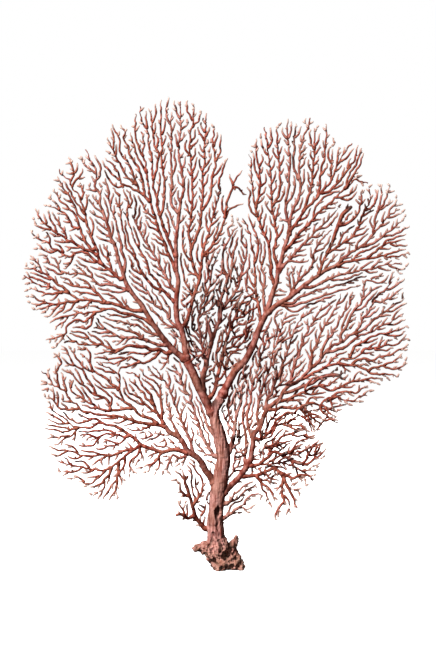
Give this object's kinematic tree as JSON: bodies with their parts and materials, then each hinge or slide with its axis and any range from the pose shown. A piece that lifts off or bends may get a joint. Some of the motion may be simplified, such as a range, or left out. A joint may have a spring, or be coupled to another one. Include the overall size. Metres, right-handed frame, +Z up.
{
  "type": "sea fan",
  "caption": "Dried branching sea fan coral that stands upright on its lumpy holdfast, cut off flat where it grew on rock.",
  "frame": {"origin": "middle of the trunk on the flat cut under the holdfast", "axes": "+Z up along the trunk to the highest tips, +X to the right across the fan, -Y out of the fan's front"},
  "size_m": [0.3446, 0.0421, 0.4265],
  "materials": {
    "trunk_rind": "dried matte rind, finely granular, dusty rose brown with pits",
    "limb_rind": "dried matte rind, finely granular, dusty rose",
    "twig_rind": "dried matte rind, rose brown, paler at the tips"
  },
  "bodies": {
    "root": {"back_fan": "twig_rind", "centre_limb": "limb_rind", "hanging_fan": "twig_rind", "hanging_left_fan": "twig_rind", "left_crown_fan": "twig_rind", "left_heart_fan": "twig_rind", "left_inner_limb": "limb_rind", "left_limb": "limb_rind", "left_middle_fan": "twig_rind", "left_outer_limb": "limb_rind", "left_shoulder_fan": "twig_rind", "left_side_fan": "twig_rind", "left_under_fan": "twig_rind", "low_left_branch": "twig_rind", "low_right_bush": "twig_rind", "low_right_fan": "twig_rind", "lower_left_limb": "limb_rind", "lower_left_middle_fan": "twig_rind", "lower_left_side_fan": "twig_rind", "lower_left_under_fan": "twig_rind", "lower_left_upper_fan": "twig_rind", "lower_right_limb": "limb_rind", "lower_right_middle_fan": "twig_rind", "lower_right_side_fan": "twig_rind", "lower_right_under_fan": "twig_rind", "middle_crown_fan": "twig_rind", "notch_fan": "twig_rind", "right_crown_fan": "twig_rind", "right_heart_fan": "twig_rind", "right_limb": "limb_rind", "right_outer_limb": "limb_rind", "right_outer_side_fan": "twig_rind", "right_outer_top_fan": "twig_rind", "right_shoulder_fan": "twig_rind", "right_top_fan": "twig_rind", "right_top_left_fan": "twig_rind", "right_top_right_fan": "twig_rind", "trunk": "trunk_rind"}
  },
  "joints": []
}
